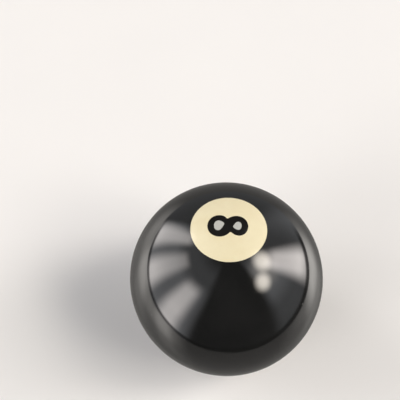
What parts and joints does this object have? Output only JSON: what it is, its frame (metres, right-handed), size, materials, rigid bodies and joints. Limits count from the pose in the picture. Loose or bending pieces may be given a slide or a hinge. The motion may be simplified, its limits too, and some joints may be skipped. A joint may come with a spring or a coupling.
{
  "type": "numbered pool ball",
  "caption": "Polished black cast-resin pool ball with a pale number disc and inlaid numeral set flush at each pole, cast round a separate core.",
  "frame": {"origin": "the ball's centre", "axes": "+Z from the centre out through one number disc and -Z through the other; +X towards the top of each numeral; +Y completes a right-handed frame"},
  "size_m": [0.0572, 0.0572, 0.0572],
  "materials": {
    "black_shell_resin": "polished",
    "core_resin": "as cast",
    "peg_resin": "as cast",
    "cream_disc_resin": "polished",
    "black_numeral_resin": "polished",
    "island_resin": "polished"
  },
  "bodies": {
    "root": {"outer_shell": "black_shell_resin", "core_ball": "core_resin", "core_peg_top": "peg_resin", "core_peg_bottom": "peg_resin", "number_disc_top": "cream_disc_resin", "number_disc_bottom": "cream_disc_resin", "numeral_top": "black_numeral_resin", "numeral_bottom": "black_numeral_resin", "numeral_island_large_top": "island_resin", "numeral_island_small_top": "island_resin", "numeral_island_large_bottom": "island_resin", "numeral_island_small_bottom": "island_resin"}
  },
  "joints": []
}
